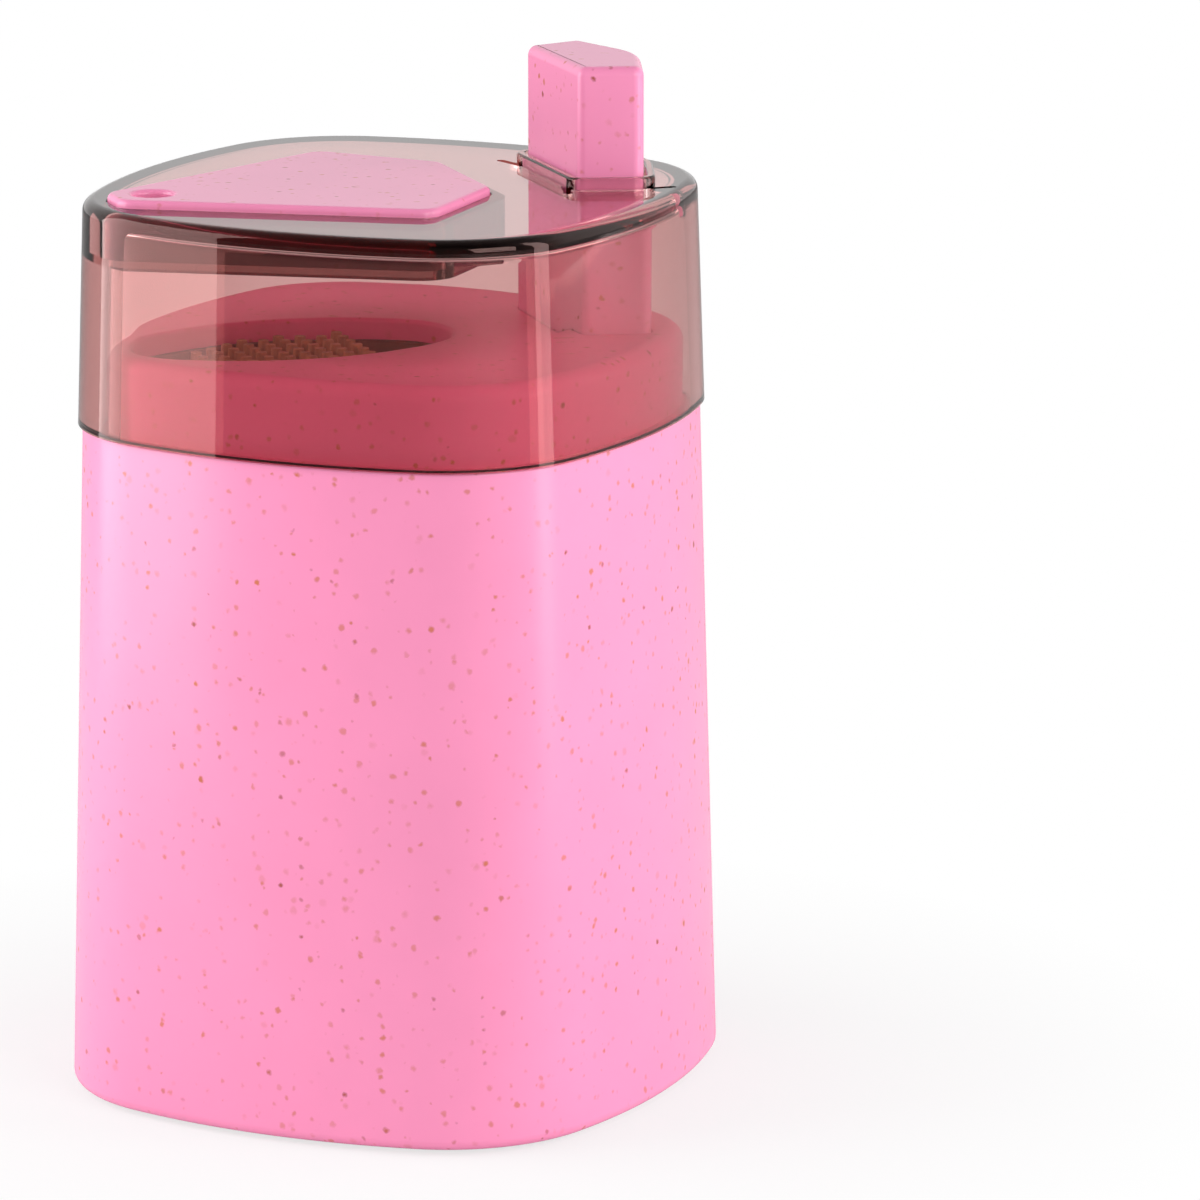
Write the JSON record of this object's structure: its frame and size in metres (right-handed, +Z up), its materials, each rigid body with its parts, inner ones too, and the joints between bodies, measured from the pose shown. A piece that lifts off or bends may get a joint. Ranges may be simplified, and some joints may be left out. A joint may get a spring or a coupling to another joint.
{
  "type": "toothpick dispenser",
  "caption": "Press-post toothpick dispenser: tapered rounded-square body, transparent lid with an exit hole, and a lever that lifts one pick when the post is pressed.",
  "frame": {"origin": "centre of the footprint, on the surface that the feet stand on", "axes": "+Z up; +X along the diagonal of the square plan, from the exit hole's corner to the press post's"},
  "size_m": [0.0688, 0.0688, 0.1056],
  "materials": {
    "pink_plastic": "gloss",
    "smoke_plastic": "clear",
    "brown_plastic": "matte",
    "white_plastic": "satin",
    "steel": "satin",
    "rubber": "matte",
    "wood": "raw"
  },
  "bodies": {
    "housing": {"outer_body": "pink_plastic", "base_plate": "pink_plastic", "base_screws": "steel", "rubber_feet": "rubber", "neck_deck": "pink_plastic", "hopper": "brown_plastic", "hopper_screws": "steel", "toothpick_stock": "wood", "rocker_bracket": "white_plastic", "bracket_screws": "steel", "rocker_shaft": "steel", "shaft_clips": "steel"},
    "post": {"press_post": "pink_plastic", "return_spring": "steel"},
    "rocker": {"rocker_frame": "white_plastic", "link_pin": "steel", "link_clips": "steel"},
    "lift": {"lifter": "white_plastic", "served_toothpick": "wood"},
    "lid": {"lid_shell": "smoke_plastic", "petal_cap": "pink_plastic"}
  },
  "joints": [
    {"name": "press", "type": "slide", "parent": "housing", "child": "post", "axis": [0, 0, -1], "range_m": [0, 0.0108], "stiffness_N_per_m": 150, "springref_m": -0.004, "deforming": ["return_spring"]},
    {"name": "rocker_swing", "type": "hinge", "parent": "housing", "child": "rocker", "pos_m": [0.0073, 0, 0.026], "axis": [0, 1, 0], "range_deg": [0, 50.76]},
    {"name": "lifter_rise", "type": "slide", "parent": "housing", "child": "lift", "axis": [0, 0, 1], "range_m": [0, 0.02486]},
    {"name": "lid_lift", "type": "slide", "parent": "housing", "child": "lid", "axis": [0, 0, 1], "range_m": [0, 0.03]}
  ],
  "couplings": [
    {"joint": "rocker_swing", "follows": "press", "rad_per_m": 82.02},
    {"joint": "lifter_rise", "follows": "press", "ratio": 2.3015}
  ]
}
